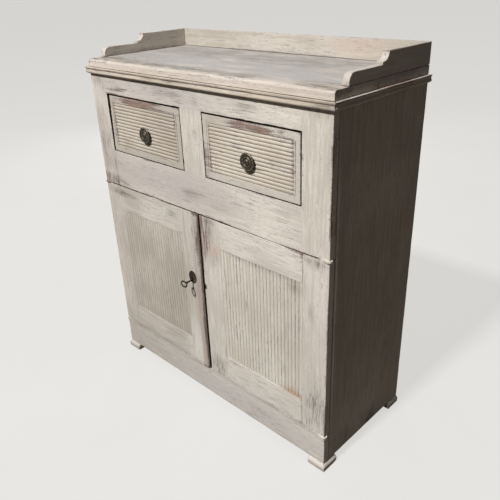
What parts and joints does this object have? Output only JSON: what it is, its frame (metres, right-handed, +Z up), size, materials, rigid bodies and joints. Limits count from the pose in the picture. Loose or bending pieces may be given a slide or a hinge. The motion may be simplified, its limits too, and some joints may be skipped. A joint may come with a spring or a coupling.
{
  "type": "buffet cabinet",
  "caption": "Painted wooden buffet cabinet with side-by-side reeded drawers above reeded panel doors, a tray top with a low shaped gallery, block feet, and a lock with its key.",
  "frame": {"origin": "on the floor, under the middle of the cabinet's overall box, the key included", "axes": "+Z up, -Y out of the front with the drawers and doors, +X to the right of someone facing it"},
  "size_m": [0.8866, 0.41, 1.05],
  "materials": {
    "worn_pale_paint": "chalky pale grey paint on pine, worn through at the edges",
    "worn_grey_paint": "chalky greyer paint on pine, with grime in the grooves",
    "worn_cream_paint": "chalky cream paint on pine, worn to the wood along the top borders",
    "bare_pine": "old unpainted pine",
    "dark_bronze": "dark patinated bronze",
    "dark_iron": "dark worn iron"
  },
  "bodies": {
    "case": {"left_side": "worn_pale_paint", "right_side": "worn_pale_paint", "floor_board": "bare_pine", "shelf": "bare_pine", "left_back_board": "bare_pine", "right_back_board": "bare_pine", "top_rail": "worn_pale_paint", "mid_rail": "worn_pale_paint", "drawer_divider": "worn_pale_paint", "left_front_stile": "worn_pale_paint", "right_front_stile": "worn_pale_paint", "plinth_rail": "worn_pale_paint", "front_left_foot": "worn_pale_paint", "front_right_foot": "worn_pale_paint", "rear_left_foot": "worn_pale_paint", "rear_right_foot": "worn_pale_paint", "top_board": "worn_pale_paint", "front_moulding": "worn_pale_paint", "left_moulding": "worn_pale_paint", "right_moulding": "worn_pale_paint", "left_gallery": "worn_pale_paint", "right_gallery": "worn_pale_paint", "back_gallery": "worn_pale_paint", "left_runner": "bare_pine", "centre_runner": "bare_pine", "right_runner": "bare_pine", "left_upper_hinge_plate": "dark_iron", "left_lower_hinge_plate": "dark_iron", "right_upper_hinge_plate": "dark_iron", "right_lower_hinge_plate": "dark_iron"},
    "left_drawer": {"left_drawer_front": "worn_cream_paint", "left_drawer_left_side": "bare_pine", "left_drawer_right_side": "bare_pine", "left_drawer_back": "bare_pine", "left_drawer_bottom": "bare_pine", "left_drawer_knob": "dark_bronze"},
    "right_drawer": {"right_drawer_front": "worn_cream_paint", "right_drawer_left_side": "bare_pine", "right_drawer_right_side": "bare_pine", "right_drawer_back": "bare_pine", "right_drawer_bottom": "bare_pine", "right_drawer_knob": "dark_bronze"},
    "left_door": {"left_door_hinge_stile": "worn_grey_paint", "left_door_lock_stile": "worn_grey_paint", "left_door_top_rail": "worn_grey_paint", "left_door_bottom_rail": "worn_grey_paint", "left_door_panel": "worn_grey_paint", "left_door_upper_leaf": "dark_iron", "left_door_lower_leaf": "dark_iron", "escutcheon": "dark_bronze", "lock_case": "dark_iron"},
    "right_door": {"right_door_hinge_stile": "worn_grey_paint", "right_door_meeting_stile": "worn_grey_paint", "right_door_top_rail": "worn_grey_paint", "right_door_bottom_rail": "worn_grey_paint", "right_door_panel": "worn_grey_paint", "right_door_upper_leaf": "dark_iron", "right_door_lower_leaf": "dark_iron"},
    "lock_bolt": {"lock_bolt": "dark_iron"},
    "key": {"key": "dark_iron"}
  },
  "joints": [
    {"name": "left_drawer_slide", "type": "slide", "parent": "case", "child": "left_drawer", "axis": [0, -1, 0], "range_m": [0, 0.25]},
    {"name": "right_drawer_slide", "type": "slide", "parent": "case", "child": "right_drawer", "axis": [0, -1, 0], "range_m": [0, 0.25]},
    {"name": "left_door_hinge", "type": "hinge", "parent": "case", "child": "left_door", "pos_m": [-0.4295, -0.1585, 0.3725], "axis": [0, 0, -1], "range_deg": [0, 170]},
    {"name": "right_door_hinge", "type": "hinge", "parent": "case", "child": "right_door", "pos_m": [0.4295, -0.1585, 0.3725], "axis": [0, 0, 1], "range_deg": [0, 170]},
    {"name": "key_turn", "type": "hinge", "parent": "left_door", "child": "key", "pos_m": [-0.049, -0.163, 0.411], "axis": [0, -1, 0], "range_deg": [-50, 180]},
    {"name": "lock_bolt_slide", "type": "slide", "parent": "left_door", "child": "lock_bolt", "axis": [1, 0, 0], "range_m": [-0.0028, 0.01]}
  ],
  "couplings": [
    {"joint": "lock_bolt_slide", "follows": "key_turn", "m_per_rad": 0.003183}
  ]
}
